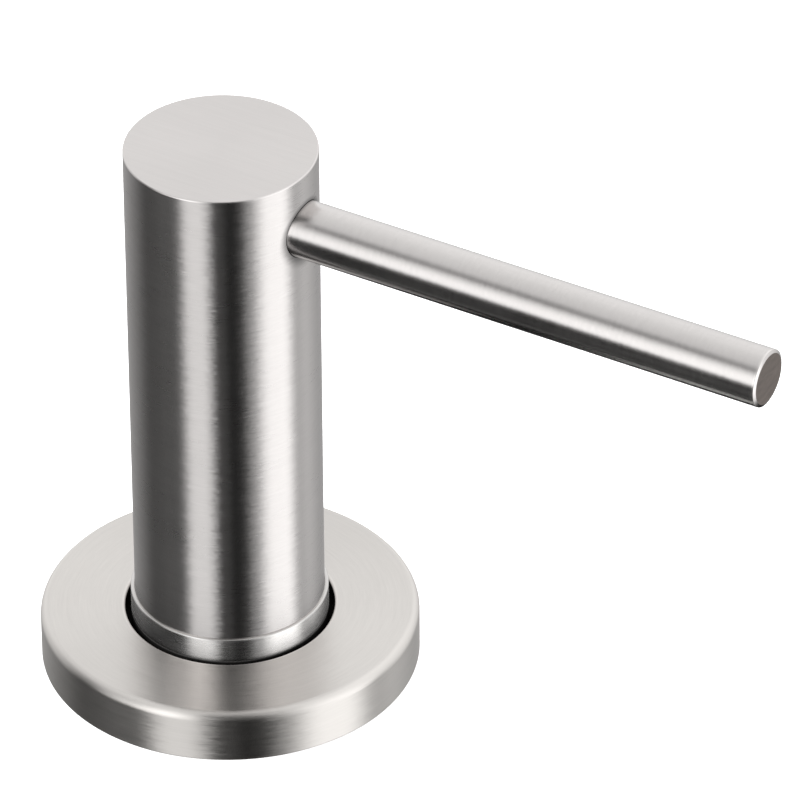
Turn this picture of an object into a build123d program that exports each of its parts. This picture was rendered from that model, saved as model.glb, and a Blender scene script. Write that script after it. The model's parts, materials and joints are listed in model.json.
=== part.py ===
from build123d import *
import os
from math import sqrt, pi, cos, sin, radians

# Deck-mounted soap pump dispenser, brushed stainless steel.
# Frame: +Z up, +X along the spout, origin on the shank axis at the deck
# surface (underside of the deck gasket).  All sizes in millimetres.

os.makedirs("parts", exist_ok=True)

# ---------------------------------------------------------------- dimensions
# head (everything that is pushed down by hand)
head_d = 28.0            # outside diameter of the pump head
head_wall = 1.5          # wall of the head tube
head_top_z = 88.5        # flat top above the deck
head_disc_t = 2.2        # welded top disc
head_foot_z = 6.0        # lower edge of the head tube at rest, inside the sleeve
edge_break = 0.25        # small edge break on turned edges

spout_d = 8.5
spout_bore_d = 6.0
spout_z = 79.3           # spout axis above the deck
spout_reach = 88.5       # flat tip face from the head axis
spout_inner_x = 5.0      # inner end of the spout tube
spout_tip_wall = 2.6     # closed end
spout_tip_r = 0.4        # rounding of the tip edge
nozzle_x = 82.0          # outlet axis on the underside of the spout
nozzle_d = 3.8
nozzle_hole_d = 2.4

# base that stays on the deck
flange_d = 56.0
flange_foot_z = 0.2      # skirt stands just clear of the deck
flange_top_z = 8.4
flange_edge_r = 1.4      # rounded outer top edge
flange_bore_d = 31.0
flange_bore_r = 0.35      # rounding of the bore's upper edge
flange_skirt_t = 2.4
flange_plate_t = 2.0

sleeve_od = 29.2         # guide sleeve standing round the head's foot
sleeve_id = 28.2
sleeve_rim_z = 12.0
shoulder_d = 47.6        # shoulder disc hidden under the flange
shoulder_z0, shoulder_z1 = 2.0, 4.6
gasket_od = 47.6
gasket_t = 2.0
flange_ring_r = 20.6     # centre-line radius of the ring that seats the flange
flange_ring_wire = 0.89

shank_d = 32.0           # threaded shank M32 x 1.5
shank_pitch = 1.5
pilot_d = 32.4           # plain pilot that centres the shank in the deck hole
pilot_len = 9.0
neck_d = 33.0            # short neck above the pilot, inside the deck gasket
undercut_d = 31.2        # undercut below the neck
undercut_len = 1.0
neck_foot_z = 0.5        # the neck ends this far above the deck plane
shank_end_z = -76.0
step_z = -10.0           # step in the bore that carries the cartridge
shank_bore_d = 24.0

# clamp under the deck, shown on a 25 mm deck
deck_t = 25.0
rubber_t = 2.0
steel_t = 1.5
washer_od = 48.0
washer_id = 32.8
nut_h = 10.0
nut_d = 45.0

# bottle
bottle_top_z = -60.0
bottle_neck_l = 17.0
bottle_id_neck = 32.1
bottle_neck_od = 37.0
bottle_d = 66.0
bottle_wall = 1.4
bottle_end_z = -206.0

# pump cartridge
stroke = 12.0
cap_collar_d = 28.0
cap_hub_d = 21.0
cap_top_z = 4.0
chamber_od = 16.8
chamber_id = 13.0
chamber_top_z = -2.3
wiper_top_z = -0.5
chamber_seat_z = -46.5
spigot_end_z = -58.0
dip_od = 6.4
dip_id = 4.4
dip_end_z = -199.0
stem_od = 6.0
stem_id = 3.0
stem_top_z = 60.0
spring_r = 5.0
spring_wire = 1.0
spring_turns = 7
cage_top_z = -40.5
piston_top_z = -2.4
piston_len = 10.0
ball_in_r = 2.5
ball_out_r = 1.5


def ring(r0, r1, z0, z1):
    """plain ring between two radii"""
    s = Pos(0, 0, (z0 + z1) / 2) * Cylinder(r1, z1 - z0)
    if r0 > 0:
        s = s - Pos(0, 0, (z0 + z1) / 2) * Cylinder(r0, (z1 - z0) + 2)
    return s


def turned(pts):
    """solid of revolution about Z from an (r, z) outline"""
    face = make_face(Plane.XZ * Polyline(*pts, close=True))
    return revolve(face, Axis.Z)


def bar_x(r, x0, x1, z):
    """round bar along X"""
    return Pos((x0 + x1) / 2, 0, z) * Rot(0, 90, 0) * Cylinder(r, x1 - x0)


def one(shape):
    """a single clean solid"""
    sols = shape.solids()
    assert len(sols) == 1, len(sols)
    return sols[0]


parts = {}

# ---------------------------------------------------------------- pump head
hr = head_d / 2
hri = hr - head_wall
disc_z = head_top_z - head_disc_t

tube = turned([(hri, head_foot_z), (hr - 0.4, head_foot_z), (hr, head_foot_z + 0.4),
               (hr, disc_z), (hri, disc_z)])
tube = tube - bar_x(spout_d / 2 + 0.03, 8, 20, spout_z)
parts["head_tube"] = one(tube)

parts["head_top_disc"] = turned([
    (0, disc_z), (hr, disc_z), (hr, head_top_z - edge_break),
    (hr - edge_break, head_top_z), (0, head_top_z)])

# moulded core fixed in the head: holds the inner end of the spout, leads the
# soap from the stem to the spout and carries the stem socket
core_top = disc_z - 0.1
core_low = 66.0
core_boss_end = 17.0
core = ring(0, hri - 0.02, core_low, core_top)
core = core + ring(0, 6.2, core_boss_end, core_low + 1)
core = core + ring(0, hri - 0.02, 30.0, 33.0)             # centring collar
core = core - bar_x(spout_d / 2 + 0.03, spout_inner_x - 0.03, 20, spout_z)
core = core - bar_x(2.4, -1.6, spout_inner_x + 1, spout_z)
core = core - Pos(0, 0, (stem_top_z + 0.1 + spout_z) / 2) * Cylinder(1.6, spout_z - stem_top_z - 0.1)
core = core - Pos(0, 0, (core_boss_end + stem_top_z + 0.1) / 2 - 1) * Cylinder(
    stem_od / 2 + 0.03, stem_top_z + 0.1 - core_boss_end + 2)
core = core - ring(stem_od / 2, 4.25, 51.0, 53.4)           # o-ring groove round the stem
# o-ring groove round the spout's inner end
core = core - (bar_x(5.25, 7.6, 9.6, spout_z) - bar_x(spout_d / 2, 7.0, 10.0, spout_z))
parts["head_core"] = one(core)

# spout: tube with a closed, edge-rounded tip and an outlet seat underneath
sp = bar_x(spout_d / 2, spout_inner_x, spout_reach, spout_z)
tip_edges = sp.edges().filter_by(GeomType.CIRCLE).group_by(Axis.X)[-1]
sp = fillet(tip_edges, spout_tip_r)
sp = sp - bar_x(spout_bore_d / 2, spout_inner_x - 1, spout_reach - spout_tip_wall, spout_z)
sp = sp - Pos(nozzle_x, 0, spout_z - spout_d / 2) * Cylinder(nozzle_d / 2 + 0.01, 4.0)
parts["spout"] = one(sp)

# outlet insert pressed into the spout from below
noz_top = spout_z - spout_bore_d / 2 + 0.6
noz_bot = spout_z - spout_d / 2 + 0.4      # set back inside the spout's wall
noz = Pos(nozzle_x, 0, (noz_top + noz_bot) / 2) * Cylinder(nozzle_d / 2, noz_top - noz_bot)
noz = noz - Pos(nozzle_x, 0, (noz_top + noz_bot) / 2) * Cylinder(nozzle_hole_d / 2, 10)
noz = noz - Pos(nozzle_x, 0, noz_bot) * Cone(1.2, 1.6, 0.8, rotation=(180, 0, 0))
parts["spout_nozzle"] = one(noz)

# o-rings of the head: square-section grooves, round rings
parts["spout_o_ring"] = Pos(8.6, 0, spout_z) * Rot(0, 90, 0) * Torus(4.75, 0.48)
parts["stem_o_ring"] = Pos(0, 0, 52.2) * Torus(3.62, 0.60)

# ---------------------------------------------------------------- base
fr = flange_d / 2
fb = flange_bore_d / 2
fo = turned([(fb, flange_top_z - flange_plate_t), (fb, flange_top_z), (fr, flange_top_z),
             (fr, flange_foot_z + 0.25), (fr - 0.25, flange_foot_z),
             (fr - flange_skirt_t, flange_foot_z), (fr - flange_skirt_t, flange_top_z - flange_plate_t)])
top_edges = fo.edges().filter_by(GeomType.CIRCLE).filter_by(
    lambda e: abs(e.center().Z - flange_top_z) < 1e-6)
outer = [e for e in top_edges if e.radius > 20]
inner = [e for e in top_edges if e.radius < 20]
fo = fillet(outer, flange_edge_r)
inner = [e for e in fo.edges().filter_by(GeomType.CIRCLE)
         if abs(e.center().Z - flange_top_z) < 1e-6 and e.radius < 20]
fo = fillet(inner, flange_bore_r)
parts["flange"] = one(fo)

ring_z = (shoulder_z1 + flange_top_z - flange_plate_t) / 2
parts["flange_o_ring"] = Pos(0, 0, ring_z) * Torus(flange_ring_r, flange_ring_wire)

so, si = sleeve_od / 2, sleeve_id / 2
pilot_end = -undercut_len - pilot_len
shank = turned([
    (si, step_z), (si, sleeve_rim_z - 0.15), (si + 0.1, sleeve_rim_z),
    (so - 0.2, sleeve_rim_z), (so, sleeve_rim_z - 0.2),
    (so, shoulder_z1), (shoulder_d / 2 - 0.4, shoulder_z1), (shoulder_d / 2, shoulder_z1 - 0.4),
    (shoulder_d / 2, shoulder_z0), (neck_d / 2, shoulder_z0), (neck_d / 2, neck_foot_z),
    (undercut_d / 2, neck_foot_z), (undercut_d / 2, -undercut_len), (pilot_d / 2, -undercut_len),
    (pilot_d / 2, pilot_end), (shank_d / 2 - 0.9, pilot_end), (shank_d / 2 - 0.9, pilot_end - 2.0),
    (shank_d / 2, pilot_end - 2.0 - 0.9), (shank_d / 2, shank_end_z + 1.0),
    (shank_d / 2 - 1.0, shank_end_z), (shank_bore_d / 2, shank_end_z), (shank_bore_d / 2, step_z)])
parts["threaded_shank"] = one(shank)

parts["deck_gasket"] = ring(neck_d / 2 + 0.05, gasket_od / 2, 0.0, gasket_t)

# ---------------------------------------------------------------- clamp
w1 = -deck_t
parts["rubber_washer"] = ring(washer_id / 2, washer_od / 2, w1 - rubber_t, w1)
parts["steel_washer"] = ring(washer_id / 2 - 0.2, washer_od / 2 - 0.5, w1 - rubber_t - steel_t, w1 - rubber_t)

nut_top = w1 - rubber_t - steel_t
nut = ring(shank_d / 2 + 0.05, nut_d / 2 - 2.0, nut_top - nut_h, nut_top)
nut = nut + ring(shank_d / 2 + 0.05, nut_d / 2 + 0.5, nut_top - 2.2, nut_top)
for i in range(10):
    a = radians(36 * i)
    nut = nut + Pos((nut_d / 2 - 2.4) * cos(a), (nut_d / 2 - 2.4) * sin(a),
                    nut_top - nut_h / 2) * Cylinder(2.4, nut_h)
parts["mounting_nut"] = one(nut)

# ---------------------------------------------------------------- bottle
bo, bn = bottle_d / 2, bottle_neck_od / 2
zt, zs0 = bottle_top_z, bottle_top_z - bottle_neck_l
outer_pts = [(0, zt), (bn, zt), (bn, zs0), (bn + 1.2, zs0 - 3.0), (bn + 6.5, zs0 - 7.0),
             (bo - 2.2, zs0 - 13.0), (bo, zs0 - 19.0), (bo, bottle_end_z + 4.0),
             (bo - 1.2, bottle_end_z + 1.2), (bo - 4.0, bottle_end_z), (0, bottle_end_z)]
w = bottle_wall
inner_pts = [(0, zt + 1), (bottle_id_neck / 2, zt + 1), (bottle_id_neck / 2, zs0),
             (bn - 1.4, zs0 - 3.6), (bn + 5.6, zs0 - 8.1),
             (bo - 2.2 - w, zs0 - 13.5), (bo - w, zs0 - 19.2), (bo - w, bottle_end_z + 4.4),
             (bo - 1.2 - w, bottle_end_z + 2.6), (bo - 4.6, bottle_end_z + w), (0, bottle_end_z + w)]
parts["bottle"] = one(turned(outer_pts) - turned(inner_pts))

# ---------------------------------------------------------------- cartridge
parts["cartridge_gasket"] = ring(12.2, 14.0, step_z, step_z + 1.0)

cap_z0 = step_z + 1.0
co = chamber_od / 2
cap = ring(0, cap_hub_d / 2, cap_z0, cap_top_z) + ring(0, cap_collar_d / 2, cap_z0, cap_z0 + 2.4)
cap = cap + ring(0, 11.8, cap_z0 - 4.0, cap_z0)                 # spigot into the shank bore
cap = cap - Pos(0, 0, (wiper_top_z + cap_z0 - 6) / 2) * Cylinder(co + 0.05, wiper_top_z - (cap_z0 - 6))   # socket for the chamber
cap = cap - Cylinder(stem_od / 2 + 0.08, 30)
parts["pump_cap"] = one(cap)

parts["wiper_seal"] = ring(stem_od / 2 + 0.04, co - 0.2, chamber_top_z, wiper_top_z)

ci = chamber_id / 2
parts["pump_chamber"] = one(turned([
    (ci, chamber_top_z), (co, chamber_top_z), (co, chamber_seat_z - 2.0), (5.2, chamber_seat_z - 5.0),
    (3.4, chamber_seat_z - 5.0), (3.4, spigot_end_z + 4.4),
    (dip_id / 2 - 0.05, spigot_end_z + 4.4), (dip_id / 2 - 0.05, spigot_end_z + 0.6),
    (dip_id / 2 - 0.05 - 0.3, spigot_end_z), (1.3, spigot_end_z), (1.3, chamber_seat_z - 2.2),
    (2.0, chamber_seat_z), (ci, chamber_seat_z)]))

zb = chamber_seat_z + sqrt(ball_in_r ** 2 - 2.0 ** 2) + 0.03
parts["inlet_check_ball"] = Pos(0, 0, zb) * Sphere(ball_in_r)

cage = ring(0, ci - 0.05, chamber_seat_z, cage_top_z)
cage = cage - Pos(0, 0, chamber_seat_z + 2.0) * Cylinder(3.0, 5.2)
cage = cage - Cylinder(1.6, 120)
parts["valve_cage"] = one(cage)

# return spring between the valve cage and the piston
p_bot = piston_top_z - piston_len
spring_len = p_bot - cage_top_z
helix_h = spring_len - spring_wire - 0.04
path = Helix(pitch=helix_h / spring_turns, height=helix_h, radius=spring_r,
             center=(0, 0, cage_top_z + spring_wire / 2 + 0.02))
start = path @ 0
tangent = path % 0
section = Plane(origin=start, z_dir=tangent) * Circle(spring_wire / 2)
parts["return_spring"] = one(sweep(section, path=path, is_frenet=True))

dip = ring(dip_id / 2, dip_od / 2, dip_end_z, spigot_end_z + 4.2)
dip = dip - Pos(0, 0, dip_end_z) * Rot(0, 35, 0) * Box(20, 20, 4.0)      # bevelled lower end
dip = sorted(dip.solids(), key=lambda s: s.volume)[-1]
parts["dip_tube"] = one(dip)

# ---------------------------------------------------------------- plunger
parts["pump_stem"] = ring(stem_id / 2, stem_od / 2, piston_top_z - 4.0, stem_top_z)

pis = ring(0, 4.8, p_bot, piston_top_z)
pis = pis + ring(0, 6.35, p_bot, p_bot + 1.6) + ring(0, 6.35, piston_top_z - 1.6, piston_top_z)
pis = pis - Pos(0, 0, piston_top_z - 2.0) * Cylinder(stem_od / 2, 4.0)       # stem socket
pis = pis - Pos(0, 0, p_bot + 2.0 + 2.0) * Cylinder(1.9, 4.0001)             # ball chamber
pis = pis - Pos(0, 0, p_bot + 1.0) * Cylinder(1.0, 4.0)                      # inlet
parts["piston"] = one(pis)

parts["piston_seal"] = ring(4.83, 6.45, p_bot + 1.65, piston_top_z - 1.65)
parts["outlet_check_ball"] = Pos(0, 0, p_bot + 2.0 + sqrt(ball_out_r ** 2 - 1.0) + 0.02) * Sphere(ball_out_r)

for name, solid in parts.items():
    solid.label = name
    export_step(solid, f"parts/{name}.step")
print(len(parts), "parts written")
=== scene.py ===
import json
import math
import bpy
import bmesh
import numpy as np
from mathutils import Vector, Matrix


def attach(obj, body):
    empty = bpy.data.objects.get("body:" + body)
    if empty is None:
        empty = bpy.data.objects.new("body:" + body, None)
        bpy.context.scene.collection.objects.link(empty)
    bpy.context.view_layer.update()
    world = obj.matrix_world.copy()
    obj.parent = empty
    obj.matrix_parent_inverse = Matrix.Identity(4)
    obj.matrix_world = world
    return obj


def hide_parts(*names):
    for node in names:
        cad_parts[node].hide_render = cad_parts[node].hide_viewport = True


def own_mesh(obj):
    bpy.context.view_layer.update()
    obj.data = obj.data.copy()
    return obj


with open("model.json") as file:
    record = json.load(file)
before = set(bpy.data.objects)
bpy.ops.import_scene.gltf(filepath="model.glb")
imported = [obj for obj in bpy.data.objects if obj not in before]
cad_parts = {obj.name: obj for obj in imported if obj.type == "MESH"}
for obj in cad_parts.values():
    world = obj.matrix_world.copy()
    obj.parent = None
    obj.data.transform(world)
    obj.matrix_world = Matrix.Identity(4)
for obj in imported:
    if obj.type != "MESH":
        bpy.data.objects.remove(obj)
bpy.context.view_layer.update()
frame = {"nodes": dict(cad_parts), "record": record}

scene = bpy.context.scene
MM = 0.001
TAU = 2 * math.pi

# =====================================================================  camera
AZ, EL, ROLL = math.radians(30.477), math.radians(35.149), math.radians(-0.346)
DIST, LENS = 1.19756, 371.213
AIM_RIGHT, AIM_UP = 0.025267, 0.044502

toward = Vector((math.sin(AZ) * math.cos(EL), -math.cos(AZ) * math.cos(EL), math.sin(EL)))
right = Vector((math.cos(AZ), math.sin(AZ), 0.0))
up = toward.cross(right)
r2 = right * math.cos(ROLL) + up * math.sin(ROLL)
u2 = -right * math.sin(ROLL) + up * math.cos(ROLL)
aim = Vector((0, 0, AIM_UP)) + right * AIM_RIGHT
cam_data = bpy.data.cameras.new("camera")
cam_data.lens, cam_data.sensor_width = LENS, 36.0
cam_data.clip_start, cam_data.clip_end = 0.05, 50.0
cam = bpy.data.objects.new("camera", cam_data)
scene.collection.objects.link(cam)
m = Matrix((
    (r2.x, u2.x, toward.x, 0), (r2.y, u2.y, toward.y, 0), (r2.z, u2.z, toward.z, 0), (0, 0, 0, 1)))
pos = aim + toward * DIST
m.translation = pos
cam.matrix_world = m
scene.camera = cam
scene.view_settings.view_transform = "Standard"
scene.view_settings.look = "None"
scene.view_settings.exposure = 0.0
scene.view_settings.gamma = 1.0


# =====================================================================  node helpers
class Nodes:
    """a few short cuts for building node trees"""

    def __init__(self, tree):
        self.t = tree
        self.n = tree.nodes
        self.l = tree.links

    def new(self, kind, **props):
        x = self.n.new(kind)
        for k, v in props.items():
            setattr(x, k, v)
        return x

    def link(self, a, b):
        self.l.new(a, b)

    def math(self, op, a, b=None, c=None, clamp=False):
        x = self.new("ShaderNodeMath", operation=op, use_clamp=clamp)
        for i, v in enumerate((a, b, c)):
            if v is None:
                continue
            if isinstance(v, (int, float)):
                x.inputs[i].default_value = v
            else:
                self.link(v, x.inputs[i])
        return x.outputs[0]

    def vmath(self, op, a, b=None, scale=None):
        x = self.new("ShaderNodeVectorMath", operation=op)
        for i, v in enumerate((a, b)):
            if v is None:
                continue
            if isinstance(v, (tuple, list, Vector)):
                x.inputs[i].default_value = tuple(v)
            else:
                self.link(v, x.inputs[i])
        if scale is not None:
            if isinstance(scale, (int, float)):
                x.inputs["Scale"].default_value = scale
            else:
                self.link(scale, x.inputs["Scale"])
        return x.outputs["Value"] if op in ("DOT_PRODUCT", "LENGTH") else x.outputs["Vector"]

    def xyz(self, v):
        x = self.new("ShaderNodeSeparateXYZ")
        self.link(v, x.inputs[0])
        return x.outputs[0], x.outputs[1], x.outputs[2]

    def vec(self, a, b, c):
        x = self.new("ShaderNodeCombineXYZ")
        for i, v in enumerate((a, b, c)):
            if isinstance(v, (int, float)):
                x.inputs[i].default_value = v
            else:
                self.link(v, x.inputs[i])
        return x.outputs[0]

    def noise(self, vec, scale=1.0, detail=2.0, rough=0.5, dist=0.0, out="Fac"):
        x = self.new("ShaderNodeTexNoise")
        self.link(vec, x.inputs["Vector"])
        x.inputs["Scale"].default_value = scale
        x.inputs["Detail"].default_value = detail
        x.inputs["Roughness"].default_value = rough
        x.inputs["Distortion"].default_value = dist
        return x.outputs[0] if out == "Fac" else x.outputs[1]

    def maprange(self, v, a, b, c, d, kind="LINEAR", clamp=True):
        x = self.new("ShaderNodeMapRange", interpolation_type=kind, clamp=clamp)
        self.link(v, x.inputs["Value"])
        for name, val in (("From Min", a), ("From Max", b), ("To Min", c), ("To Max", d)):
            if isinstance(val, (int, float)):
                x.inputs[name].default_value = val
            else:
                self.link(val, x.inputs[name])
        return x.outputs[0]

    def ramp(self, v, stops, mode="LINEAR"):
        x = self.new("ShaderNodeValToRGB")
        self.link(v, x.inputs[0])
        cr = x.color_ramp
        cr.interpolation = mode
        while len(cr.elements) > 1:
            cr.elements.remove(cr.elements[-1])
        for i, (p, c) in enumerate(stops):
            e = cr.elements[0] if i == 0 else cr.elements.new(p)
            e.position = p
            e.color = (c, c, c, 1) if isinstance(c, (int, float)) else (*c, 1)
        return x.outputs[0]

    def mix(self, fac, a, b):
        x = self.new("ShaderNodeMix", data_type="RGBA")
        if isinstance(fac, (int, float)):
            x.inputs[0].default_value = fac
        else:
            self.link(fac, x.inputs[0])
        for i, v in ((6, a), (7, b)):
            if isinstance(v, (tuple, list)):
                x.inputs[i].default_value = (*v, 1)
            else:
                self.link(v, x.inputs[i])
        return x.outputs[2]


def new_material(name):
    mat = bpy.data.materials.new(name)
    mat.use_nodes = True
    g = Nodes(mat.node_tree)
    g.n.clear()
    out = g.new("ShaderNodeOutputMaterial")
    bsdf = g.new("ShaderNodeBsdfPrincipled")
    g.link(bsdf.outputs[0], out.inputs[0])
    return mat, g, bsdf


# =====================================================================  studio world
# A soft studio: light cards and dark gaps around the object, as seen in gloss
# and used as light; the background itself is plain white.
SCALE_W = 2.2
# brightness by direction: one row per height angle, columns by angle round the object from the camera
WORLD_AZ = [-180, -140, -110, -92, -84.3, -76.7, -69, -61.3, -53.7, -46, -38.3, -30.7, -23, -15.3, -7.7, -0, 7.7, 15.3, 23, 30.7, 38.3, 46, 53.7, 61.3, 69, 76.7, 84.3, 92, 110, 140, 180]
WORLD_EL = [-75, -52, -36, -24, -12, 0, 12, 24, 34, 41, 46, 51, 58, 70, 90]
WORLD_ROWS = [
    [0.01, 0.12, 0.03, 0.01, 0.01, 0.01, 0.10, 0.28, 0.57, 0.93, 0.90, 0.76, 0.49, 0.06, 0.01, 0.01, 0.01, 0.01, 0.01, 0.01, 0.07, 0.58, 1.01, 1.20, 1.34, 1.34, 1.04, 0.44, 0.01, 0.01, 0.01],
    [0.01, 0.10, 0.12, 0.06, 0.26, 0.05, 0.01, 0.01, 0.35, 1.12, 0.98, 0.90, 0.87, 0.27, 0.01, 0.01, 0.01, 0.01, 0.01, 0.01, 0.14, 0.75, 1.21, 1.36, 1.43, 1.48, 1.23, 0.55, 0.01, 0.01, 0.01],
    [0.32, 0.20, 0.06, 0.11, 0.03, 0.01, 0.01, 0.01, 0.01, 0.89, 0.86, 0.89, 1.11, 0.63, 0.01, 0.12, 0.01, 0.01, 0.01, 0.31, 0.39, 1.09, 1.53, 1.55, 1.57, 1.78, 1.47, 0.56, 0.77, 0.40, 0.32],
    [0.53, 0.53, 0.26, 0.01, 0.02, 0.01, 0.01, 0.01, 0.01, 0.01, 0.93, 1.00, 1.15, 0.77, 0.01, 0.06, 0.01, 0.01, 0.06, 0.46, 0.72, 1.29, 1.61, 1.57, 1.67, 1.79, 1.22, 0.49, 0.82, 0.47, 0.53],
    [0.78, 0.71, 0.49, 0.01, 0.07, 0.17, 0.18, 0.01, 0.01, 0.70, 1.62, 1.42, 1.18, 0.72, 0.14, 0.02, 0.01, 0.01, 0.24, 0.62, 0.89, 1.29, 1.54, 1.54, 1.63, 1.58, 1.09, 0.77, 0.82, 0.71, 0.78],
    [1.02, 0.85, 0.54, 0.09, 0.11, 0.42, 0.89, 1.18, 1.33, 2.00, 2.00, 1.72, 1.22, 0.58, 0.09, 0.01, 0.01, 0.01, 0.30, 0.64, 0.92, 1.24, 1.45, 1.50, 1.53, 1.42, 1.08, 0.91, 0.89, 0.89, 1.02],
    [1.11, 0.94, 0.56, 0.15, 0.13, 0.51, 1.04, 1.30, 1.39, 2.00, 2.00, 1.78, 1.21, 0.52, 0.02, 0.01, 0.01, 0.01, 0.24, 0.58, 0.90, 1.19, 1.39, 1.44, 1.44, 1.34, 1.13, 1.00, 0.97, 0.99, 1.11],
    [1.13, 0.97, 0.56, 0.16, 0.14, 0.49, 0.92, 1.08, 1.27, 1.85, 2.00, 1.71, 1.14, 0.47, 0.01, 0.01, 0.01, 0.01, 0.22, 0.54, 0.87, 1.16, 1.34, 1.38, 1.37, 1.29, 1.15, 1.05, 1.05, 1.07, 1.13],
    [1.08, 0.94, 0.55, 0.21, 0.22, 0.46, 0.67, 0.74, 0.99, 1.55, 1.76, 1.53, 1.02, 0.42, 0.01, 0.01, 0.01, 0.07, 0.27, 0.55, 0.85, 1.11, 1.27, 1.32, 1.30, 1.24, 1.14, 1.08, 1.09, 1.11, 1.08],
    [1.08, 0.93, 0.56, 0.33, 0.37, 0.44, 0.38, 0.40, 0.79, 1.29, 1.51, 1.35, 0.92, 0.40, 0.03, 0.01, 0.01, 0.13, 0.32, 0.58, 0.83, 1.04, 1.19, 1.25, 1.23, 1.18, 1.12, 1.09, 1.12, 1.14, 1.08],
    [1.09, 0.91, 0.62, 0.51, 0.52, 0.45, 0.27, 0.30, 0.69, 1.12, 1.32, 1.19, 0.83, 0.39, 0.07, 0.01, 0.05, 0.20, 0.38, 0.60, 0.81, 0.99, 1.11, 1.16, 1.15, 1.12, 1.08, 1.08, 1.14, 1.19, 1.09],
    [1.08, 0.89, 0.75, 0.72, 0.71, 0.57, 0.40, 0.41, 0.68, 1.00, 1.14, 1.04, 0.75, 0.39, 0.11, 0.03, 0.12, 0.28, 0.45, 0.62, 0.78, 0.92, 1.02, 1.08, 1.07, 1.05, 1.04, 1.06, 1.14, 1.21, 1.08],
    [1.03, 0.95, 0.91, 0.86, 0.84, 0.70, 0.56, 0.55, 0.70, 0.91, 0.99, 0.89, 0.66, 0.42, 0.21, 0.17, 0.24, 0.38, 0.52, 0.65, 0.75, 0.86, 0.93, 0.97, 0.98, 0.98, 0.97, 1.01, 1.09, 1.16, 1.03],
    [0.96, 0.91, 0.87, 0.80, 0.81, 0.75, 0.66, 0.65, 0.73, 0.81, 0.84, 0.78, 0.65, 0.52, 0.41, 0.39, 0.43, 0.52, 0.60, 0.67, 0.73, 0.80, 0.84, 0.87, 0.88, 0.88, 0.89, 0.91, 0.97, 1.02, 0.96],
    [0.79, 0.79, 0.78, 0.77, 0.77, 0.76, 0.75, 0.74, 0.74, 0.73, 0.72, 0.72, 0.71, 0.70, 0.69, 0.69, 0.69, 0.70, 0.71, 0.72, 0.73, 0.75, 0.76, 0.77, 0.78, 0.78, 0.79, 0.79, 0.80, 0.80, 0.79],
]


def build_world():
    w = bpy.data.worlds.new("studio")
    scene.world = w
    w.use_nodes = True
    g = Nodes(w.node_tree)
    g.n.clear()
    out = g.new("ShaderNodeOutputWorld")
    tc = g.new("ShaderNodeTexCoord")
    d = g.vmath("NORMALIZE", tc.outputs["Generated"])
    dt = g.vmath("DOT_PRODUCT", d, (math.sin(AZ), -math.cos(AZ), 0))
    dr = g.vmath("DOT_PRODUCT", d, (math.cos(AZ), math.sin(AZ), 0))
    _, _, dz = g.xyz(d)
    a = g.math("ARCTAN2", dr, dt)
    u = g.math("MULTIPLY_ADD", a, 1 / TAU, 0.5)
    el = g.math("MULTIPLY", g.math("ARCSINE", dz), 180 / math.pi)

    def row(values):
        return g.ramp(u, [((p + 180) / 360.0, v / SCALE_W) for p, v in zip(WORLD_AZ, values)])

    c = row(WORLD_ROWS[0])
    for k in range(1, len(WORLD_EL)):
        c = g.mix(g.maprange(el, WORLD_EL[k - 1], WORLD_EL[k], 0, 1), c, row(WORLD_ROWS[k]))
    studio = g.new("ShaderNodeBackground")
    g.link(c, studio.inputs[0])
    studio.inputs[1].default_value = SCALE_W
    plain = g.new("ShaderNodeBackground")
    plain.inputs[0].default_value = (1, 1, 1, 1)
    plain.inputs[1].default_value = 1.05
    lp = g.new("ShaderNodeLightPath")
    mixs = g.new("ShaderNodeMixShader")
    g.link(lp.outputs["Is Camera Ray"], mixs.inputs[0])
    g.link(studio.outputs[0], mixs.inputs[1])
    g.link(plain.outputs[0], mixs.inputs[2])
    g.link(mixs.outputs[0], out.inputs[0])
    w.cycles.sampling_method = "MANUAL"
    w.cycles.sample_map_resolution = 1024


build_world()


def area(name, loc, target, size, power, colour=(1, 1, 1)):
    ld = bpy.data.lights.new(name, "AREA")
    ld.shape = "DISK"
    ld.size = size
    ld.energy = power
    ld.color = colour
    ob = bpy.data.objects.new(name, ld)
    scene.collection.objects.link(ob)
    ob.location = loc
    ob.rotation_mode = "QUATERNION"
    ob.rotation_quaternion = (Vector(target) - Vector(loc)).to_track_quat("-Z", "Y")
    ob.visible_camera = False
    ob.visible_glossy = False
    return ob


area("key_light", (-0.9, -1.0, 1.1), (0, 0, -0.05), 0.7, 14.0)
area("back_light", (-0.7, 1.2, 0.5), (0, 0, -0.1), 0.7, 9.0)
area("fill_light", (1.4, -0.5, 0.3), (0, 0, -0.1), 0.9, 5.0)


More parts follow.
